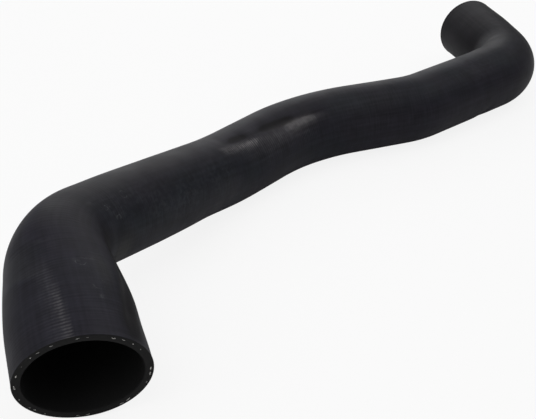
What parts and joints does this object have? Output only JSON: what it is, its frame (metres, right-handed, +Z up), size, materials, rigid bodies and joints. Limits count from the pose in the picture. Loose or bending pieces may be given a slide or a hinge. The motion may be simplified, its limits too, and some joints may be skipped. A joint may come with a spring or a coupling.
{
  "type": "charge air hose",
  "caption": "Moulded rubber charge air hose: wide end and elbow, a swaying run, then a tight elbow to a narrower end.",
  "frame": {"origin": "on the ground under the middle of the hose, as it lies at rest", "axes": "+Z up; +X along the length from the wide near end to the narrow far end; the near end opens towards -Y and the far end towards +Y"},
  "size_m": [0.527, 0.4542, 0.0914],
  "materials": {
    "rubber": "matt charcoal rubber with fine wrap ribs"
  },
  "bodies": {
    "root": {"hose": "rubber"}
  },
  "joints": []
}
